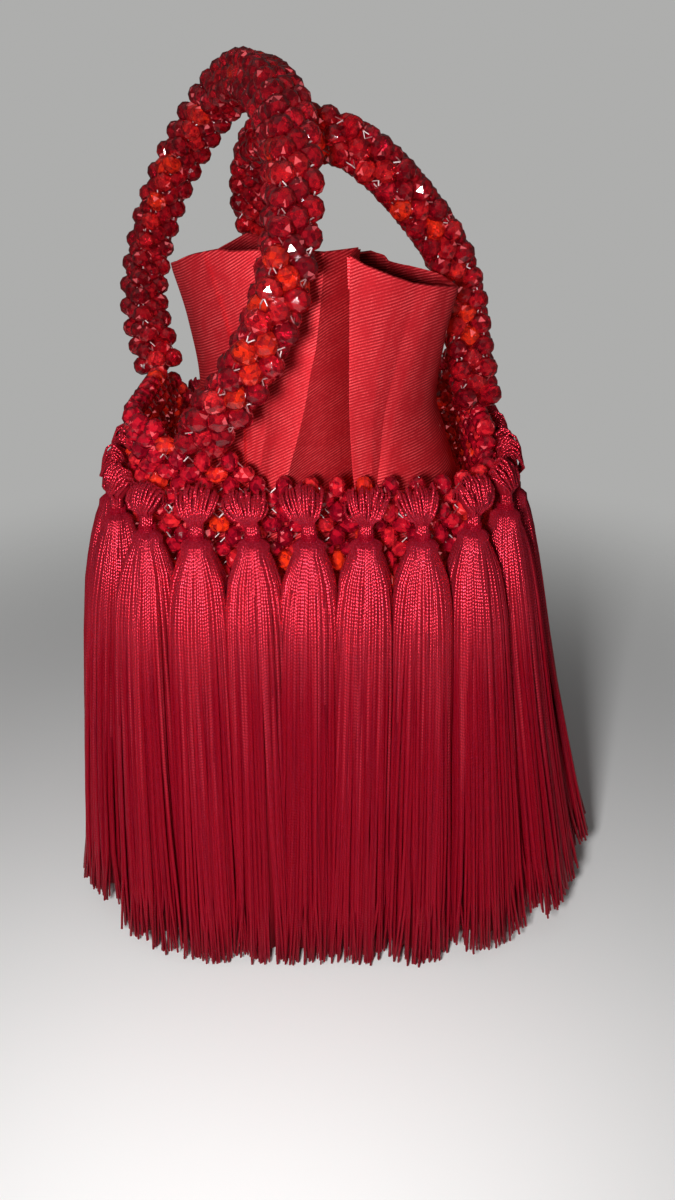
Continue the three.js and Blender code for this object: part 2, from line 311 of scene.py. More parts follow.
grid = np.arange(-BASE_BEADS, BASE_BEADS + 1) * ROW_PITCH
gx, gy = (g.ravel() for g in np.meshgrid(grid, grid))
for shift, axis in (((0.5, 0.0), (1.0, 0.0, 0.0)), ((0.0, 0.5), (0.0, 1.0, 0.0))):
    x, y = gx + shift[0] * ROW_PITCH, gy + shift[1] * ROW_PITCH
    past = np.hypot(np.maximum(np.abs(x) - HALF_WIDTH + CORNER, 0),
                    np.maximum(np.abs(y) - HALF_DEPTH + CORNER, 0))
    inside = past < CORNER - BASE_EDGE
    wall_places.append(np.stack((x[inside], y[inside], np.full(inside.sum(), FIRST_ROW)), 1))
    wall_axes.append(np.tile(axis, (inside.sum(), 1)))

body_weave = string_beads("body_weave", plain_bead, np.vstack(wall_places), np.vstack(wall_axes), BODY_LIT,
                          BODY_SEED, ruby_glass)
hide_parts("beaded_body")

# Rim and handle tabs. The last rows of the same weave, which show above and between the tassel
# heads, and two short rows added on each side where the handles are woven on. Same glass beads,
# with finer facets because they are seen.
FINE_CUT = ((-2.45, 1.5), (-1.35, 2.95), (0.0, 3.45), (1.35, 2.95), (2.45, 1.5))
RIM_Z = FIRST_ROW + ROWS * ROW_PITCH
LEFT_TAB, RIGHT_TAB = ((-18, -3), (-15, -6)), ((10, 23), (13, 20))   # columns where the rows start and end
# shares of the rim's and the tabs' beads given painted light, and the seeds of their order
RIM_LIT, RIM_SEED = 0.30, 12
TAB_LIT, TAB_SEED = 0.34, 20

fine_bead = cut_bead(FINE_CUT, 9)
rim_places, rim_axes = [], []
for row in range(ROWS - FINE_ROWS + 1, ROWS + 1):
    lying, along = on_wall(np.arange(COLUMNS), FIRST_ROW + row * ROW_PITCH)
    rim_places.append(lying)
    rim_axes.append(along)
    if row < ROWS:
        upright, _ = on_wall(np.arange(COLUMNS) + 0.5, FIRST_ROW + (row + 0.5) * ROW_PITCH)
        rim_places.append(upright)
        rim_axes.append(np.tile((0.0, 0.0, 1.0), (COLUMNS, 1)))
rim_weave = string_beads("rim_weave", fine_bead, np.vstack(rim_places), np.vstack(rim_axes), RIM_LIT,
                         RIM_SEED, ruby_glass)
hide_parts("rim_beads")

for side, tab in (("left", LEFT_TAB), ("right", RIGHT_TAB)):
    for step, (first, last) in enumerate(tab, 1):
        lying, along = on_wall(np.arange(first, last + 1), RIM_Z + step * ROW_PITCH)
        upright, _ = on_wall(np.arange(first, last + 2) - 0.5, RIM_Z + (step - 0.5) * ROW_PITCH)
        stand = np.tile((0.0, 0.0, 1.0), (len(upright), 1))
        row_name = ("lower", "upper")[step - 1]
        tab_row = string_beads(f"{side}_tab_{row_name}_weave", fine_bead, np.vstack((lying, upright)),
                               np.vstack((along, stand)), TAB_LIT,
                               TAB_SEED + step + 5 * (side == "right"), ruby_glass)
        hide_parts(f"{side}_tab_{row_name}_row")

# Nylon line of the body. Clear monofilament that runs through the beads and crosses between them;
# it shows as a small diamond at every crossing of the weave, its brightness a painted highlight.
LINE, LINE_OUT = 0.2, 0.9        # radius of the line, and how far out of the weave it stands
LINE_SKEW = (0.27, 0.61, 0.74)   # a way that no run of line takes
HALF_STEP = 3.95                 # half the distance between two beads of a row
BODY_LINE_SEEN, BODY_LINE_SEED = 0.40, 13


def line_strokes(name, starts, ends, share, seed, material):
    """Short straight runs of line as thin square tubes in one mesh; share is how many are drawn, with painted
    highlights.
    """
    chance = np.random.default_rng(seed)
    shown = chance.random(len(starts)) < share
    starts, ends = starts[shown], ends[shown]
    way = ends - starts
    way /= np.linalg.norm(way, axis=1, keepdims=True)
    a = np.cross(way, LINE_SKEW)
    a /= np.linalg.norm(a, axis=1, keepdims=True)
    b = np.cross(way, a)
    ring = LINE * np.stack((a, b, -a, -b), 1)
    points = np.stack((starts[:, None] + ring, ends[:, None] + ring), 1).reshape(-1, 3)
    walls = [[j, (j + 1) % 4, 4 + (j + 1) % 4, 4 + j] for j in range(4)]
    tube = np.array(walls + [[3, 2, 1, 0], [4, 5, 6, 7]])
    faces = (tube[None] + np.arange(len(starts))[:, None, None] * 8).reshape(-1, 4)
    piece = make_piece(name, points, faces, False, material)
    note_on_faces(piece, "shine", np.repeat(chance.random(len(starts)), len(tube)))


def nylon_material():
    """Clear nylon: glossy, each run painted from dark red, as if the beads showed through, to pale, a painted
    highlight.
    """
    material, shade = new_material("nylon_line")
    shine = shade.node("ShaderNodeAttribute", {"attribute_name": "shine"}, out=2)
    colour = (shine * shine).mix((0.20, 0.03, 0.035), (0.95, 0.84, 0.84))
    finish_material(shade, {"Roughness": 0.10, "IOR": 1.53, "Coat Weight": 0.6}, Base_Color=colour)
    return material


nylon = nylon_material()
half_run, half_rise = HALF_STEP - BEAD_LENGTH / 2, ROW_PITCH / 2 - BEAD_LENGTH / 2
starts, ends = [], []


def cross_line(columns, z, up, down):
    """Adds the diamond of line at crossings; up and down say whether beads stand above and below."""
    centre, along = on_wall(np.asarray(columns) + 0.5, z, LINE_OUT)
    left, right = centre - along * half_run, centre + along * half_run
    for rise, there in ((half_rise, up), (-half_rise, down)):
        if there:
            end = centre + np.array((0, 0, rise))
            starts.extend((left, right))
            ends.extend((end, end))


for row in range(ROWS + 1):
    cross_line(np.arange(COLUMNS), FIRST_ROW + row * ROW_PITCH, row < ROWS, row > 0)
for tab in (LEFT_TAB, RIGHT_TAB):
    for step, (first, last) in enumerate(tab, 1):
        cross_line(np.arange(first - 1, last + 1), RIM_Z + step * ROW_PITCH, step == 1, True)
line_strokes("body_line", np.vstack(starts), np.vstack(ends), BODY_LINE_SEEN, BODY_LINE_SEED, nylon)

# Lining pouch. One bag of ribbed satin that lines the beadwork, stands above the rim and is pressed
# flat into folds at its mouth, with a turned hem. Sewn to the rim row; it rests on the woven floor.
CLOTH, RIB, WARP = 0.8, 0.88, 0.45   # thickness, width of a rib, distance of the threads along the cloth
POUCH_GIRTH = 390.0
RIB_SLANT = (    # places across the pouch, then the rise of a rib there
    (-60, -10, 5, 14, 60), (-34, -4.5, 3.5, 6.3, 17.3),
)
POUCH_TURN = -0.13                   # how far the mouth is turned: its right end stands forward
POUCH_ROUND = 360                    # points round the cloth
POUCH_LEVELS = ((7.2, 14, 4), (22, 134, 12), (140, 219, 50))   # from, to, rings between
POUCH_FLOOR = (0.1, 0.4, 0.7)        # rings of the pouch's floor, as shares of its edge
HEM_RINGS = ((-1, 0.9, 1.0), (-1, 1.9, 0.3), (-3, 2.1, 0), (-6, 2.0, 0))   # beside which ring, inset, rise
HEM_TOP = 0.7                        # rise of the fold at the hem's edge
MOUTH_Z, POUCH_FOOT = 219.0, 160.0
CREASE_END, CREASE_FADE = 130.0, 28.0
POUCH_SECTIONS = np.array((   # z, half, mid, tip, front, back, square, fold
    (7.2, 47, 0, 0, 49, 49, 3.2, 0), (14, 51.6, 0, 0, 53.6, 53.6, 3.2, 0),
    (140, 51.6, 0, 0, 53.6, 53.6, 3.2, 0),
    (166, 44, 0.5, -4, 45.5, 46, 2.8, 0.35), (184, 38.8, 1.2, -10, 36.5, 42, 2.6, 0.7),
    (203, 40.5, 0.8, -18, 27, 39, 2.4, 0.95), (219, 43.8, 0.4, -23, 19.5, 35, 2.2, 1),
))
POUCH_PANELS = np.array((   # angle at the mouth, lean by the rim, out at the mouth and the rim, slide along
    (0, 0, 0, 0, 0), (18, 0, -2, 0, 0), (34, 0, -9, -1, 0), (48, 0, -19, -3, 0), (62, 0, -20, -3, 0),
    (80, 0, -12, -1, 0), (100, 0, -3, 0.5, 0), (120, 0, -2, -0.5, 0), (140, 0, -2.4, -1, 0),
    (160, 0, 0.5, 0.5, 0), (180, 0, 0, 0, 0), (200, 4, -0.4, -0.5, 0), (226, 26, 1.0, 0.9, 0),
    (227, 26, 0.0, -0.2, 0), (252, 5, -0.4, 0.8, 0), (264, -4.5, 1.0, 2.4, 0), (274, -9, 2.6, 4.0, 0),
    (284, -4.2, -9.5, -19, 1.8), (285, -4.2, 3.0, 3.2, -1.8),
    (300, -15, 1.8, 2.0, 0), (312, -25, 0.8, 0.85, 0), (324, -34, 1.0, 1.05, 0), (334, -24, 0.4, 0.5, 0),
    (344, -14, 0.4, 0.4, 0), (360, 0, 0, 0, 0),
))
POUCH_HEM = np.array((      # angle, rise of the mouth's edge
    (0, -4.6), (10, -4.0), (24, -2.0), (36, -0.6), (46, 1.0), (54, 2.6), (66, 3.4), (75, 2.0), (80, 0.8),
    (96, -0.5), (106, 4), (119, 6.4), (128, 4), (145, 0.4), (160, -2.2), (170, -2.2), (180, 0.5),
    (200, 2), (220, 4.9), (234, 6.6), (240, 6.2), (262, 7.4), (274, 7), (284, 6.8), (290, 3.6),
    (300, 0.3), (310, -1.8), (320, -2.7), (340, -3.8), (360, -4.6),
)).T


def satin_material():
    """Ribbed satin: fine cords across the cloth, a little slub and a soft gloss, with painted sheen and
    painted highlight specks on the ribs.
    """
    material, shade = new_material("ribbed_satin")
    cloth = shade.node("ShaderNodeUVMap", {"uv_map": "cloth"})
    parts = shade.node("ShaderNodeSeparateXYZ", None, {0: cloth})
    across = Shade(parts.tree, parts.socket.node.outputs[0])
    up = Shade(parts.tree, parts.socket.node.outputs[1])
    sway = shade.node("ShaderNodeTexNoise", None, {"Vector": cloth, "Scale": 0.022, "Detail": 1.0})
    patch = shade.node("ShaderNodeTexNoise", None, {"Vector": cloth, "Scale": 0.16, "Detail": 2.0})
    wave = shade.sum("SINE", (up + sway * 2.5) * (2 * math.pi / RIB))
    rib = wave * (patch * 0.8) + 0.5
    slub = shade.node("ShaderNodeTexNoise", None, {"Vector": cloth, "Scale": 1.5, "Detail": 3.0})
    warp = shade.sum("SINE", across * (2 * math.pi / WARP)) * 0.5 + 0.5
    # partly painted sheen: the rib crests are painted lighter in patches, over the slub's and warp's own tone
    weave = (rib * 0.6 + slub * 0.32 + warp * 0.08).mix((0.17, 0.001, 0.005), (0.80, 0.030, 0.042))
    # painted highlight: pink specks on the rib crests
    painted_gleam = shade.node("ShaderNodeMapRange", None, {0: (wave * 0.5 + 0.5) * patch * slub, 1: 0.14, 2: 0.34})
    colour = (painted_gleam * 0.6).mix(weave, (1.0, 0.12, 0.13))
    relief = rib + slub * 0.6
    bump = shade.node("ShaderNodeBump", None, {"Strength": 0.5, "Distance": 0.00015, "Height": relief})
    plain = {"IOR": 1.5, "Metallic": 0.4, "Specular IOR Level": 0.35, "Specular Tint": (1.0, 0.3, 0.3, 1)}
    finish_material(shade, plain, Base_Color=colour, Roughness=0.56 - rib * 0.14, Normal=bump)
    return material


def soften(values, reach=0.4):
    """Rounds off the corners of values that go once round the pouch, over a reach in points."""
    step = np.arange(-9, 10)
    weight = np.exp(-(step / reach) ** 2)
    return sum(w * np.roll(values, k) for w, k in zip(weight / weight.sum(), step))


def pouch_ring(level, inset=0.0):
    """The pouch's outline at a level between sections, moved in by a distance, from its right edge round."""
    z, half, mid, tip, front, back, square, fold = level
    column = np.arange(POUCH_ROUND) / POUCH_ROUND * 360
    at, lean, high, low, slide = POUCH_PANELS.T
    drop = np.clip((MOUTH_Z - z) / (MOUTH_Z - POUCH_FOOT), 0, 1)
    crease = np.clip((z - CREASE_END) / CREASE_FADE, 0, 1)
    angle = np.radians(column + np.interp(column, at, lean) * drop * crease)
    c, s = np.cos(angle), np.sin(angle)
    across = np.sign(c) * np.abs(c) ** (2 / square) * half
    deep = np.sign(s) * np.abs(s) ** (2 / square) * np.where(s < 0, front, back)
    out = soften(np.interp(column, at, high + (low - high) * drop)) * crease
    tuck = soften(np.interp(column, at, slide)) * crease
    lift = np.interp(column, *POUCH_HEM) * fold ** 2
    outward = np.stack((c ** 3, s), 1)
    outward /= np.linalg.norm(outward, axis=1, keepdims=True)
    ring = np.stack((mid + across + tuck, tip + deep + across * fold * POUCH_TURN, z + lift), 1)
    ring[:, :2] += outward * (out - inset)[:, None]
    return ring


def curve(t, start, leave, end, arrive):
    """A smooth line from start to end, at shares t of the way, that leaves and arrives at given slopes."""
    return ((2 * t**3 - 3 * t**2 + 1) * start + (t**3 - 2 * t**2 + t) * leave
            + (3 * t**2 - 2 * t**3) * end + (t**3 - t**2) * arrive)


def smooth_levels(table, steps):
    """Levels between the sections, on a smooth line through them that doesn't overshoot."""
    z = table[:, 0]
    slope = np.diff(table, axis=0) / np.diff(z)[:, None]
    before, after = slope[:-1], slope[1:]
    total = np.where(after + before == 0, 1, after + before)
    tangent = np.vstack((slope[:1], np.where(after * before > 0, 2 * after * before / total, 0), slope[-1:]))
    levels = []
    for height in steps:
        i = min(np.searchsorted(z, height, side="right") - 1, len(z) - 2)
        h, t = z[i + 1] - z[i], (height - z[i]) / (z[i + 1] - z[i])
        levels.append(curve(t, table[i], h * tangent[i], table[i + 1], h * tangent[i + 1]))
    return levels


heights = np.concatenate([np.linspace(*run) for run in POUCH_LEVELS])
levels = smooth_levels(POUCH_SECTIONS, heights)
rings = [pouch_ring(level) for level in levels]
floor_rings = [np.hstack((rings[0][:, :2] * share, rings[0][:, 2:])) for share in POUCH_FLOOR]
hem_top = rings[-1] + np.array((0, 0, HEM_TOP))
hem_rings = [np.hstack((pouch_ring(levels[n], inset)[:, :2], rings[n][:, 2:] + rise))
             for n, inset, rise in HEM_RINGS]
cloth_rings = np.array(floor_rings + rings[:-1] + [hem_top] + hem_rings)
steps = len(cloth_rings)
ring_start = np.arange(steps - 1)[:, None] * POUCH_ROUND
low = (ring_start + np.arange(POUCH_ROUND)).ravel()
low_next = (ring_start + (np.arange(POUCH_ROUND) + 1) % POUCH_ROUND).ravel()
cloth_faces = np.stack((low, low_next, low_next + POUCH_ROUND, low + POUCH_ROUND), 1)
satin = satin_material()
lining = make_piece("lining_satin_pouch", cloth_rings.reshape(-1, 3), cloth_faces, True, satin)
across_step = POUCH_GIRTH / POUCH_ROUND
up_cloth = cloth_rings[:, :, 2] - np.interp(cloth_rings[:, :, 0], *RIB_SLANT)
up_cloth = np.hstack((up_cloth, up_cloth[:, :1]))
column = np.tile(np.arange(POUCH_ROUND), (steps - 1, 1))
u = np.stack((column, column + 1, column + 1, column), -1) * across_step
v = np.stack((up_cloth[:-1, :-1], up_cloth[:-1, 1:], up_cloth[1:, 1:], up_cloth[1:, :-1]), -1)
uv = np.stack((u, v), -1)
lining.data.uv_layers.new(name="cloth").data.foreach_set("uv", uv.astype(np.float32).ravel())


def open_mesh(piece):
    """Makes one piece the active one and opens its mesh with nothing selected."""
    bpy.ops.object.select_all(action="DESELECT")
    bpy.context.view_layer.objects.active = piece
    piece.select_set(True)
    bpy.ops.object.mode_set(mode="EDIT")
    bpy.ops.mesh.select_all(action="DESELECT")


open_mesh(lining)
bpy.ops.object.mode_set(mode="OBJECT")
for vertex in list(lining.data.vertices)[:POUCH_ROUND]:
    vertex.select = True
bpy.ops.object.mode_set(mode="EDIT")
bpy.ops.mesh.select_mode(type="VERT")
bpy.ops.mesh.fill()
bpy.ops.mesh.select_all(action="SELECT")
bpy.ops.mesh.normals_make_consistent(inside=False)
bpy.ops.object.mode_set(mode="OBJECT")
thick = lining.modifiers.new("cloth", "SOLIDIFY")
thick.thickness, thick.offset = CLOTH * MM, -1.0
bpy.ops.object.modifier_apply(modifier="cloth")
bpy.ops.object.shade_smooth_by_angle(angle=math.radians(15))
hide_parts("lining_pouch")

# Handles. Two square ropes in cubic right-angle weave: a ring of four beads, four beads along the
# edges, and so on; glass beads on nylon line, each end woven into a tab of the rim.
ROPE_PITCH, ROPE_HALF = 8.0, 4.0
TAB_TOP, FOOT_GAP = 3.82, 0.3        # from the middle of a tab's lower row to its top, and room above it
FOOT_Z = RIM_Z + ROW_PITCH + TAB_TOP + FOOT_GAP
ROPE_CUT = ((-3.1, 1.9), (-1.8, 3.4), (0.0, 3.85), (1.8, 3.4), (3.1, 1.9))
# colour of the ropes' painted glow, and how clear their glass is
ROPE_SPARK, ROPE_CLEAR = (0.30, 0.010, 0.005), 0.7
LIGHT_FROM, LIGHT_REACH = np.array((-45.0, -360.0, 248.0)), 280.0   # beads that face it, this near, get more painted light
ROPE_DULL, ROPE_LIT, ROPE_NARROW = 0.08, 2.6, 10   # how much painted light others get, those get, how closely they face
LEFT_SEED, RIGHT_SEED = 31, 32
ROPE_LINE_START, ROPE_LINE_SEEN = 2.4, 0.75        # from a bead's middle to where line leaves it, share seen
LEFT_ROUTE = (
    (-31.5, -58.6, FOOT_Z), (-30.6, -60.2, 180), (-21.5, -65.5, 191), (-10.5, -67, 210), (-5.4, -59, 227),
    (-4.4, -44, 245), (-6.9, -25, 260), (-12.6, -5, 268), (-21, 24, 272), (-31, 44, 268), (-43, 56, 256),
    (-56, 63, 236), (-64.4, 61, 214), (-65.6, 50, 196), (-61, 38.5, 182.5), (-58.6, 35, FOOT_Z),
)
RIGHT_ROUTE = (
    (54.4, -17, FOOT_Z), (53, -13.5, 182), (51.4, -7, 192), (49.2, -2, 206), (43.6, -3, 221),
    (30.6, -7.5, 238), (17, -11, 250.5), (6, -4, 255.5), (-3.3, 14, 255.5), (-12.7, 38, 254),
    (-21, 58, 250), (-25.2, 71, 240), (-24, 77, 224), (-13, 77.5, 209), (8, 73, 199), (23.5, 66, 191),
    (29.5, 60.5, 182.5), (30, 58.8, FOOT_Z),
)


def rope_stations(route):
    """Even half-pitch stations on a smooth line through the route, with ways along and two cross ways."""
    p = np.array(route, float)
    p = np.vstack((2 * p[0] - p[1], p, 2 * p[-1] - p[-2]))
    line = []
    for a, b, c, d in zip(p, p[1:], p[2:], p[3:]):
        k0, k1, k2 = (np.linalg.norm(v) ** 0.5 for v in (b - a, c - b, d - c))
        m1 = ((b - a) / k0 - (c - a) / (k0 + k1) + (c - b) / k1) * k1
        m2 = ((c - b) / k1 - (d - b) / (k1 + k2) + (d - c) / k2) * k1
        t = np.linspace(0, 1, 60, endpoint=False)[:, None]
        line.append(curve(t, b, m1, c, m2))
    line = np.vstack((*line, p[-2:-1]))
    reach = np.concatenate(((0,), np.cumsum(np.linalg.norm(np.diff(line, axis=0), axis=1))))
    steps = 2 * round(reach[-1] / ROPE_PITCH)
    at = np.linspace(0, reach[-1], steps + 1)
    point = np.stack([np.interp(at, reach, line[:, k]) for k in range(3)], 1)
    fine = np.gradient(line, axis=0)
    way = np.stack([np.interp(at, reach, fine[:, k]) for k in range(3)], 1)
    way /= np.linalg.norm(way, axis=1, keepdims=True)
    start = np.zeros(3)
    start[len(way[0]) - 1 - np.argmin(np.abs(way[0])[::-1])] = 1
    first = np.cross(way[0], start)
    cross = [np.cross(way[0], first / np.linalg.norm(first))]
    for before, after in zip(way, way[1:]):
        axis, turn = np.cross(before, after), math.acos(min(1.0, float(before @ after)))
        v = cross[-1]
        if turn > 1e-6:
            axis /= np.linalg.norm(axis)
            v = (v * math.cos(turn) + np.cross(axis, v) * math.sin(turn)
                 + axis * (axis @ v) * (1 - math.cos(turn)))
        cross.append(v)
    cross = np.array(cross)
    return point, way, cross, np.cross(way, cross)


rope_glass = glass_material("ruby_glass_rope", ROPE_SPARK, ROPE_CLEAR)
rope_bead = cut_bead(ROPE_CUT, 9)
for side, route, seed in (("left", LEFT_ROUTE, LEFT_SEED), ("right", RIGHT_ROUTE, RIGHT_SEED)):
    point, way, cross, other = rope_stations(route)
    ring, edge = slice(2, -2, 2), slice(1, None, 2)
    places, axes, faces = [], [], []
    for face, lie in ((cross, other), (other, cross), (-cross, other), (-other, cross)):
        places.append(point[ring] + ROPE_HALF * face[ring])
        axes.append(lie[ring])
        faces.append(face[ring])
    for a, b in ((1, 1), (1, -1), (-1, 1), (-1, -1)):
        places.append(point[edge] + ROPE_HALF * (a * cross[edge] + b * other[edge]))
        axes.append(way[edge])
        faces.append((a * cross[edge] + b * other[edge]) / math.sqrt(2))
    # painted light: beads that face the light by the camera, and are near it, get more painted glow and fire
    to_light = LIGHT_FROM - np.vstack(places)
    far = np.linalg.norm(to_light, axis=1)
    faced = np.clip((np.vstack(faces) * to_light).sum(1) / far, 0, 1)
    lit = ROPE_DULL + ROPE_LIT * faced ** ROPE_NARROW * np.clip(LIGHT_REACH / far, 0, 1) ** 2
    rope = string_beads(f"{side}_handle_beads", rope_bead, np.vstack(places), np.vstack(axes), lit, seed,
                        rope_glass)
    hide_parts(f"{side}_handle")
    starts, ends = [], []
    gap = ROPE_HALF - ROPE_LINE_START
    for a, b in ((1, 1), (1, -1), (-1, 1), (-1, -1)):
        corner = point[ring] + (ROPE_HALF + LINE_OUT) * (a * cross[ring] + b * other[ring])
        for inward in (-a * cross[ring], -b * other[ring]):
            for onward in (way[ring], -way[ring]):
                starts.append(corner + gap * inward)
                ends.append(corner + gap * onward)
    line_strokes(f"{side}_handle_line", np.vstack(starts), np.vstack(ends), ROPE_LINE_SEEN, seed + 10, nylon)

# Tassels. Twenty-eight hanks of twisted rayon thread, each looped over the beads of the rim, tied
# round the neck and cut level below. The folded loops fan out above the tie, and the skirts hang
# side by side and hide the beadwork.
TASSELS, TASSEL_START, NECK_RING, GAP = 28, -0.3, 9.0, 0.3
TASSEL_SEED = 400
THREAD, PLY, TIE_THREAD = 0.57, 1.05, 0.42   # radius of a thread, length of one twist, radius of the tie
SHINE_END, SHINE_GONE = 11.0, 53.0   # lengths down a thread between which its painted sheen fades out
STRAY_SHINE = 55.0               # how much farther down some threads keep their painted sheen
NECK_AT, TIE_AT = 9.0, 100.0     # lengths at which the neck's and the tie's thread begin: with painted sheen, without
SWAY, LEAN = 2.2, 1.5            # how far one tassel's skirt and crown may hang out of line
TASSEL_ROWS = np.array((   # z, out, share, deep, flare
    (165.0, 5.9, 0.62, 2.3, 0), (157.4, 6.8, 0.66, 3.2, 0), (153.6, 8.2, 0.24, 1.9, 0),
    (149.2, 8.8, 0.24, 1.9, 0), (145.0, 9.0, 0.74, 5.2, 0), (122.0, 11.5, 1, 7.9, 0.02),
    (62.0, 14.8, 0.96, 10.0, 0.42), (2.0, 15.8, 0.95, 11.5, 1),
))
TASSEL_SIDES = ((-90, 4, 0, 0), (0, 20, 13, 4), (90, 6, 2, 0), (180, 5, 7, 2))   # toward, flare, trim, lift
FINER = 20                       # steps between two rows of a tassel
# places between the rows: down the skirt, over the crown with its spread, depth and rise, neck and core
HANG = np.array((3.0, 3.2, 3.45, 3.7, 4.0, 4.25, 4.5, 4.75, 5.0, 5.4, 5.8, 6.2, 6.6, 7.0))
LOOP = np.array((2.3, 1.9, 1.5, 1.0, 0.55, 0.2, 0.05, 0.3, 0.9))
LOOP_SPREAD = np.array((0.85, 0.80, 0.66, 0.74, 1.0, 1.2, 1.24, 1.1, 0.9))
LOOP_DEPTH = np.array((0.4, 0.95, 1.25, 1.45, 1.45, 1.2, 0.5, -0.5, -1.0))
LOOP_RISE = np.array((0, 0, 0, 0.3, 0.7, 1, 1, 0.6, 0.2))
NECK = np.array((1.95, 2.2, 2.6, 3.0, 3.12))
CORE = np.array((0.45, 1.0, 1.5, 2.0, 3.0, 3.4, 4.0, 4.5, 5.0, 5.5, 6.0, 6.5, 6.94))
CORE_SHARE, CORE_SIDES = 0.86, 20    # how much of the hank its packed inside fills, and points round it
FRONT, BACK, MIDDLE, UNDER = 56, 14, 36, 38   # threads of the skirt: outside in front and behind, then inside
LOOPS, STRANDS = 34, 9           # threads of the crown, and strands in front of the neck
WINDS, WIND_STEPS = 4, 17        # turns of the tie, and points on each


def thread_material():
    """Twisted rayon thread: two plies wound round each other, with painted sheen and shade in slanting dashes
    that fade down the thread.
    """
    material, shade = new_material("rayon_thread")
    place = shade.node("ShaderNodeUVMap", {"uv_map": "thread"})
    parts = shade.node("ShaderNodeSeparateXYZ", None, {0: place})
    around = Shade(parts.tree, parts.socket.node.outputs[0])
    length = Shade(parts.tree, parts.socket.node.outputs[1])
    dye = shade.node("ShaderNodeAttribute", {"attribute_name": "dye"}, out=2)
    ply = shade.sum("SINE", (around + length / PLY) * (2 * math.pi)) * 0.5 + 0.5
    smooth = {"interpolation_type": "SMOOTHSTEP"}
    # painted sheen: lighter ply dashes near the top of each thread, weaker over its bend out of the tie,
    # fading out lower down
    bent = shade.node("ShaderNodeMapRange", smooth, {"Value": length, 1: 1.0, 2: 8.0})
    down = length - dye * dye * dye * STRAY_SHINE
    painted_sheen_reach = shade.node("ShaderNodeMapRange", smooth,
                        {"Value": down, 1: SHINE_END, 2: SHINE_GONE, 3: 1.0, 4: 0.0})
    shine = painted_sheen_reach * (bent * 0.75 + 0.25)
    # loose is the thread's own tone; the painted sheen colour is a painted highlight on the plies
    loose = dye.mix((0.21, 0.002, 0.009), (0.26, 0.004, 0.014))
    painted_sheen_colour = (ply * 0.85 + dye * 0.15).mix((0.24, 0.005, 0.015), (0.72, 0.036, 0.064))
    colour = shine.mix(loose, painted_sheen_colour)
    bump = shade.node("ShaderNodeBump", None, {"Strength": 1.0, "Distance": 0.00008, "Height": ply})
    lustre = (0.25 + ply * 0.7) * (shine * 0.7 + 0.3)
    plain = {"IOR": 1.5, "Roughness": 0.29, "Specular IOR Level": 0.06, "Specular Tint": (1.0, 0.5, 0.6, 1),
             "Diffuse Roughness": 1.0, "Subsurface Weight": 0.35, "Subsurface Scale": 0.002,
             "Subsurface Radius": (1.0, 0.12, 0.12)}
    finish_material(shade, plain, Base_Color=colour, Metallic=lustre, Normal=bump)
    return material


def core_material():
    """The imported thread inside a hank, seen only as shade between the outer threads."""
    material, shade = new_material("thread_core")
    place = shade.node("ShaderNodeTexCoord", None, None, out=3)
    strand = shade.node("ShaderNodeTexNoise", None, {"Vector": place, "Scale": 900.0})
    colour = strand.mix((0.16, 0.0012, 0.006), (0.22, 0.002, 0.009))
    finish_material(shade, {"Roughness": 0.7, "Specular IOR Level": 0.1}, Base_Color=colour)
    return material


def thread_tubes(paths, radius, across, chance, sides=4, start=0.0):
    """Points, quads, UVs and a random tone and painted sheen value of round threads on their paths; U goes
    round, V is the length in mm.
    """
    count, steps, _ = paths.shape
    way = np.gradient(paths, axis=1)
    way /= np.linalg.norm(way, axis=2, keepdims=True)
    a = across - (way * across).sum(2, keepdims=True) * way
    a /= np.linalg.norm(a, axis=2, keepdims=True)
    b = np.cross(way, a)
    turn = (np.arange(sides) + 0.5) / sides * 2 * math.pi
    ring = np.cos(turn)[:, None] * a[:, :, None] + np.sin(turn)[:, None] * b[:, :, None]
    points = (paths[:, :, None] + radius[:, :, None, None] * ring).reshape(-1, 3)
    first = np.arange(count)[:, None, None] * steps * sides
    j, k = np.arange(sides), (np.arange(sides) + 1) % sides
    i = first + np.arange(steps - 1)[None, :, None] * sides
    quads = np.stack((i + j, i + k, i + sides + k, i + sides + j), -1).reshape(-1, 4)
    cap = np.array([(0, n + 2, n + 1, n) for n in range(1, sides - 2, 2)])
    last = first + (steps - 1) * sides
    caps = np.vstack(((first + cap).reshape(-1, 4), (last + cap[:, ::-1]).reshape(-1, 4)))
    run = np.cumsum(np.linalg.norm(np.diff(paths, axis=1), axis=2), 1)
    reach = start + np.concatenate((np.zeros((count, 1)), run), 1)
    phase, twist = chance.random((count, 1, 1)), np.where(chance.random((count, 1, 1)) < 0.5, 1, -1)
    low, high = reach[:, :-1, None], reach[:, 1:, None]
    u0, u1 = (phase + twist * (j + n) / sides + 0 * low for n in (0, 1))
    v0, v1 = low + 0 * u0, high + 0 * u0
    uv = np.stack((np.stack((u0, u1, u1, u0), -1), np.stack((v0, v0, v1, v1), -1)), -1).reshape(-1, 2)
    shade = chance.random(count)
    dye = np.concatenate((np.repeat(shade, (steps - 1) * sides), np.tile(np.repeat(shade, len(cap)), 2)))
    return points, np.vstack((quads, caps)), np.vstack((uv, np.zeros((4 * len(caps), 2)))), dye


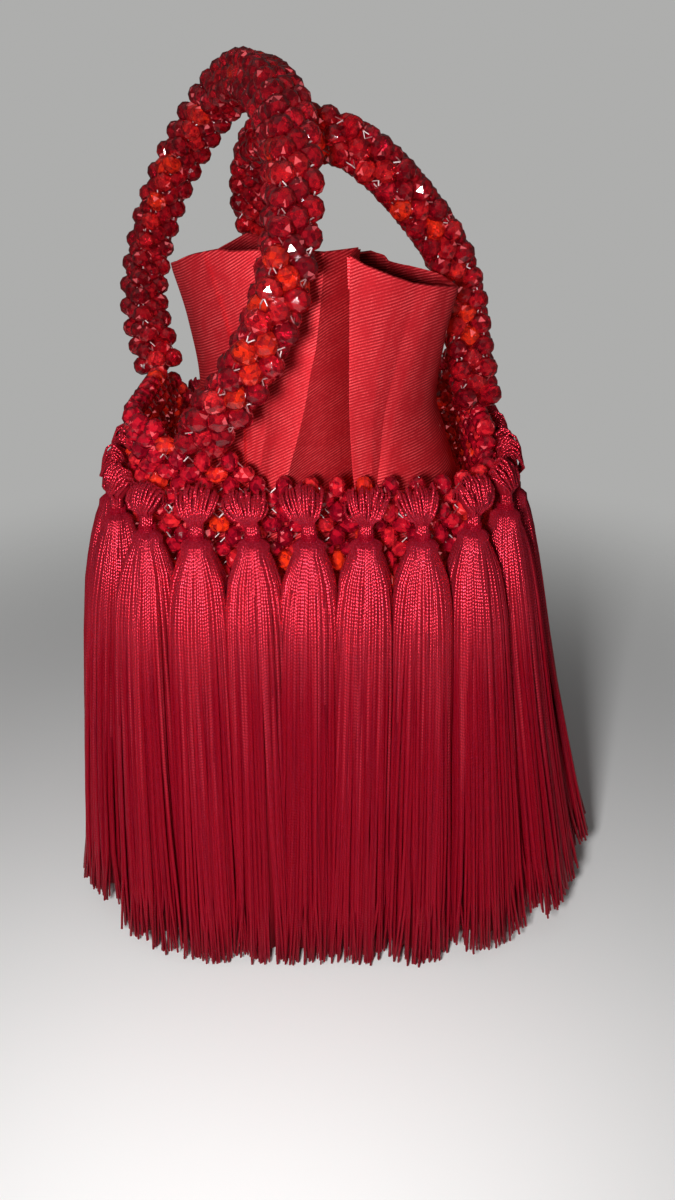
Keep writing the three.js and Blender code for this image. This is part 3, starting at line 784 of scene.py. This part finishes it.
def tassel_frame(number):
    """Centre, half width, half depth and height at each row of a tassel, with its ways along and outward."""
    span = 2 * math.pi * (CORNER + NECK_RING) + 4 * (HALF_WIDTH + HALF_DEPTH - 2 * CORNER)
    share = (number + TASSEL_START / (span / TASSELS)) / TASSELS
    point, along, away = round_the_wall(NECK_RING, (share, share - 1 / TASSELS, share + 1 / TASSELS))
    ways = [(math.cos(math.radians(side[0])), math.sin(math.radians(side[0]))) for side in TASSEL_SIDES]
    facing = [max(0.0, away[0] @ way) ** 2 for way in ways]
    flare, trim, lift = (sum(f * side[k] for f, side in zip(facing, TASSEL_SIDES)) for k in (1, 2, 3))
    z, out, part, deep, spread = TASSEL_ROWS.T
    out = out + flare * spread
    centres = point[:, None] + away[:, None] * (out - NECK_RING)[None, :, None]
    room = np.minimum(*(np.linalg.norm(centres[n] - centres[0], axis=1) for n in (1, 2)))
    wide = (room / 2 - GAP) / math.cos(math.pi / 10) * part
    height = np.where(z > 140, z + lift, z + trim * spread)
    rows = np.column_stack((np.arange(len(z)), centres[0], wide, deep, height))
    fine = np.array(smooth_levels(rows, np.arange(len(z) * FINER - FINER + 1) / FINER))
    return fine[:, 1:3], fine[:, 3], fine[:, 4], fine[:, 5], np.append(along[0], 0), np.append(away[0], 0)


def between(rows, at):
    """Values of a tassel's rows at places between them."""
    return np.interp(at, np.arange(len(rows)) / FINER, rows)


def pinched(at):
    """Share of a tassel's width that its thread fills: drawn in under the tie."""
    return 1 - 0.32 * np.exp(-((at - 4) / 0.36) ** 2)


rayon, packed = thread_material(), core_material()
for number in range(TASSELS):
    chance = np.random.default_rng(TASSEL_SEED + number)
    centres, wide, deep, height, along, away = tassel_frame(number)
    sway, lean = np.clip(chance.normal(0, 1, 2), -1.5, 1.5) * (SWAY, LEAN)
    batches = []

    def place(at, u, v, du=0.0, dv=0.0, dz=0.0):
        """Points in the tassel: at between rows, u and v as shares of its half width and depth, then mm."""
        middle = (between(centres[:, 0], at)[..., None] * (1, 0, 0)
                  + between(centres[:, 1], at)[..., None] * (0, 1, 0))
        stray = sway * np.clip((at - 4.2) / 2.8, 0, 1) ** 1.5 + lean * np.clip((2.4 - at) / 2.4, 0, 1)
        side = (u * between(wide, at) + du + stray)[..., None] * along
        depth = (v * between(deep, at) + dv)[..., None] * away
        return middle + side + depth + (between(height, at) + dz)[..., None] * (0, 0, 1)

    # skirt: an outer layer of threads, close together in front, and two more under it
    turn = np.concatenate((np.linspace(-28, 208, FRONT), np.linspace(214, 326, BACK),
                           np.linspace(-25, 205, MIDDLE), np.linspace(-22, 202, UNDER)))
    turn = np.radians(turn + chance.uniform(-1.7, 1.7, len(turn)))[:, None]
    layer = np.repeat((1.0, 0.965, 0.92), (FRONT + BACK, MIDDLE, UNDER))[:, None]
    bunch = 0.5 + 0.5 * np.cos(5 * turn + chance.uniform(0, 6))
    lump = 1.02 - 0.05 * bunch - chance.uniform(0, 0.04, turn.shape)
    at = np.tile(HANG, (len(turn), 1))
    loose = np.clip(at - 4, 0, 3) / 3
    boxy = 2 + np.clip((at - 4) / 0.6, 0, 1) + 1.4 * np.clip((at - 4.7) / 2.3, 0, 1)
    full = (np.abs(np.cos(turn)) ** boxy + np.abs(np.sin(turn)) ** boxy) ** (-1 / boxy) * layer * lump
    pinch = pinched(at) + 0.22 * np.clip(at - 4.8, 0, 2.2) / 2.2
    u = np.cos(turn) * full * pinch
    belly = 1 + 0.10 * np.exp(-((at - 5) / 0.5) ** 2) - 0.14 * np.exp(-((at - 4) / 0.3) ** 2)
    v = np.sin(turn) * full * belly

    def wave(size):
        """Millimetres that each thread strays from its place, more towards its end."""
        swing = np.sin(at * chance.uniform(1.5, 3.5, turn.shape) + chance.uniform(0, 6.3, turn.shape))
        return size * loose * (swing + chance.normal(0, 0.9, turn.shape))

    swell = np.where(at < 4, np.sin(np.clip(at - 3, 0, 1) * math.pi / 2) - np.clip(at - 3, 0, 1), 0)
    drift = chance.normal(0, 1.1, turn.shape) * loose ** 2
    aside = wave(0.45) + drift + swell * 2 * np.cos(turn)
    outward = wave(0.4) + swell * 2 * np.sin(turn)
    skirt = place(at, u, v, aside, outward, swell * 1.2)
    cut = chance.normal(0, 1.1, len(turn))
    uneven = chance.random(len(turn)) < 0.14
    cut = cut + np.where(uneven, chance.uniform(-3, 3, len(turn)), 0)
    skirt[:, -1, 2] = np.maximum(skirt[:, -1, 2] + cut + 2.4 * np.abs(np.cos(turn[:, 0])) ** 3, 0.5)
    skirt[:, -1, :2] += chance.normal(0, 0.8, (len(turn), 2))
    thin = np.full(at.shape, THREAD) * np.where(at < 3.6, 0.75, 1.0)
    thin[:, -1] *= 0.7
    batches.append(thread_tubes(skirt[:FRONT], thin[:FRONT], along, chance, 6))
    batches.append(thread_tubes(skirt[FRONT:], thin[FRONT:], along, chance))

    # crown: loops that leave the tie, fan out, turn over the rim bead and go in behind
    spread = np.linspace(-1, 1, LOOPS)[:, None] + chance.uniform(-0.06, 0.06, (LOOPS, 1))
    tip = chance.normal(0, 1.1, (LOOPS, 1)) + chance.uniform(-2.6, 0.4)
    rank = np.where(np.arange(LOOPS) % 2, 0.55, 1.0)[:, None]
    at = np.tile(LOOP, (LOOPS, 1))
    aside, outward = chance.normal(0, 0.15, at.shape), chance.normal(0, 0.12, at.shape)
    arch = place(at, spread * LOOP_SPREAD, LOOP_DEPTH * rank, aside, outward,
                 (tip - 1.8 * spread ** 2) * LOOP_RISE)
    batches.append(thread_tubes(arch, np.full(at.shape, THREAD * 0.9), along, chance))

    # neck: a few straight strands in front, and the tie wound round below them
    turn = np.radians(np.linspace(0, 180, STRANDS))
    at = np.tile(NECK, (STRANDS, 1))
    neck = place(at, 0.85 * np.cos(turn)[:, None], np.sin(turn)[:, None])
    batches.append(thread_tubes(neck, np.full(at.shape, THREAD), along, chance, start=NECK_AT))
    turn = np.tile(np.linspace(0, 2 * math.pi, WIND_STEPS), (WINDS, 1))
    at = np.tile(np.linspace(2.66, 3.06, WINDS)[:, None], (1, WIND_STEPS))
    tie = place(at, np.cos(turn) * 1.1, np.sin(turn) * 1.25)
    upward = np.array((0.0, 0.0, 1.0))
    batches.append(thread_tubes(tie, np.full(at.shape, TIE_THREAD), upward, chance, start=TIE_AT))

    shift = np.cumsum([0] + [len(b[0]) for b in batches])
    tassel = make_piece(f"tassel_threads_{number + 1:02d}", np.vstack([b[0] for b in batches]),
                        np.vstack([b[1] + s for b, s in zip(batches, shift)]), True, rayon)
    tassel.data.uv_layers.new(name="thread").data.foreach_set(
        "uv", np.vstack([b[2] for b in batches]).astype(np.float32).ravel())
    note_on_faces(tassel, "dye", np.concatenate([b[3] for b in batches]))
    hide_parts(f"tassel_{number + 1:02d}")

    # core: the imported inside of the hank
    turn = np.arange(CORE_SIDES) / CORE_SIDES * 2 * math.pi
    at = np.tile(CORE[:, None], (1, CORE_SIDES))
    core = place(at, CORE_SHARE * pinched(at) * np.cos(turn), CORE_SHARE * np.sin(turn))
    i, j = np.arange(len(CORE) - 1)[:, None] * CORE_SIDES, np.arange(CORE_SIDES)
    k = (j + 1) % CORE_SIDES
    quads = np.stack((i + k, i + j, i + CORE_SIDES + j, i + CORE_SIDES + k), -1).reshape(-1, 4)
    hank = make_piece(f"tassel_core_{number + 1:02d}", core.reshape(-1, 3), quads, True, packed)
    open_mesh(hank)
    bpy.ops.mesh.select_mode(type="EDGE")
    bpy.ops.mesh.select_non_manifold()
    bpy.ops.mesh.fill_holes(sides=0)
    bpy.ops.mesh.select_all(action="SELECT")
    bpy.ops.mesh.normals_make_consistent(inside=False)
    bpy.ops.object.mode_set(mode="OBJECT")

# Stage. A plain pale floor, a small bright light close to the camera, a broad soft light overhead
# and a pale surround; the camera stands where the photograph was taken from.
FLOOR_FADE = (0.14, 0.44)        # distances between which the floor goes over into the surround
CAMERA_AT, CAMERA_DOWN = (0.008, -0.334, 0.262), 26.5
SENSOR, FOCAL, FRAME_HEIGHT = 36.0, 979, 1200   # the last two in the photograph's pixels

bpy.ops.object.select_all(action="DESELECT")
bpy.ops.mesh.primitive_circle_add(vertices=96, radius=4.0, fill_type="NGON", location=(0, 0, -0.0005))
floor = bpy.context.object
floor.name = "floor"
paper, shade = new_material("pale_paper")
spot = shade.node("ShaderNodeTexCoord", None, None, out=3)
mottle = shade.node("ShaderNodeTexNoise", None, {"Vector": spot, "Scale": 2.5, "Detail": 3.0})
colour = mottle.mix((0.86, 0.86, 0.86), (0.93, 0.93, 0.92))
sheet = shade.node("ShaderNodeBsdfPrincipled", None, {"Base Color": colour, "Roughness": 0.8})
reach = shade.node("ShaderNodeVectorMath", {"operation": "LENGTH"}, {0: spot}, out=1)
far = shade.node("ShaderNodeMapRange", {"interpolation_type": "SMOOTHSTEP"},
                 {"Value": reach, 1: FLOOR_FADE[0], 2: FLOOR_FADE[1]})
gone = shade.node("ShaderNodeBsdfTransparent")
faded = shade.node("ShaderNodeMixShader", None, {0: far, 1: sheet, 2: gone})
shade.node("ShaderNodeOutputMaterial", None, {"Surface": faded})
floor.data.materials.append(paper)
floor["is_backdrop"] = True


def soft_light(name, place, aim, size, power):
    """A square light panel at a place that faces a point, with its size in metres and power in watts."""
    bpy.ops.object.light_add(type="AREA", location=place)
    lamp = bpy.context.object
    lamp.name = name
    lamp.data.size, lamp.data.energy = size, power
    way = np.array(aim) - np.array(place)
    flat = math.hypot(way[0], way[1])
    lamp.rotation_euler = (math.atan2(flat, -way[2]), 0, math.atan2(-way[0], way[1]))


soft_light("light_by_the_camera", (-0.045, -0.36, 0.248), (0, 0, 0.14), 0.05, 1.5)
soft_light("light_overhead", (-0.3, -0.2, 1.3), (0, 0, 0.1), 1.2, 1.0)
soft_light("light_right", (1.1, -0.6, 0.7), (0, 0, 0.12), 0.9, 0.4)

surround = bpy.data.worlds.new("surround")
surround.use_nodes = True
surround.node_tree.nodes.clear()
shade = Shade(surround.node_tree)
seen = shade.node("ShaderNodeLightPath")
pale = shade.node("ShaderNodeBackground", None,
                  {"Color": (0.66, 0.66, 0.65, 1), "Strength": seen * 0.53 + 0.11})
shade.node("ShaderNodeOutputWorld", None, {"Surface": pale})
bpy.context.scene.world = surround
bpy.context.scene.view_settings.view_transform = "Standard"

bpy.ops.object.camera_add(location=CAMERA_AT, rotation=(math.radians(90 - CAMERA_DOWN), 0, 0))
camera = bpy.context.object
camera.data.sensor_width, camera.data.lens = SENSOR, SENSOR * FOCAL / FRAME_HEIGHT
camera.data.clip_start = 0.01
bpy.context.scene.camera = camera

low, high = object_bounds()
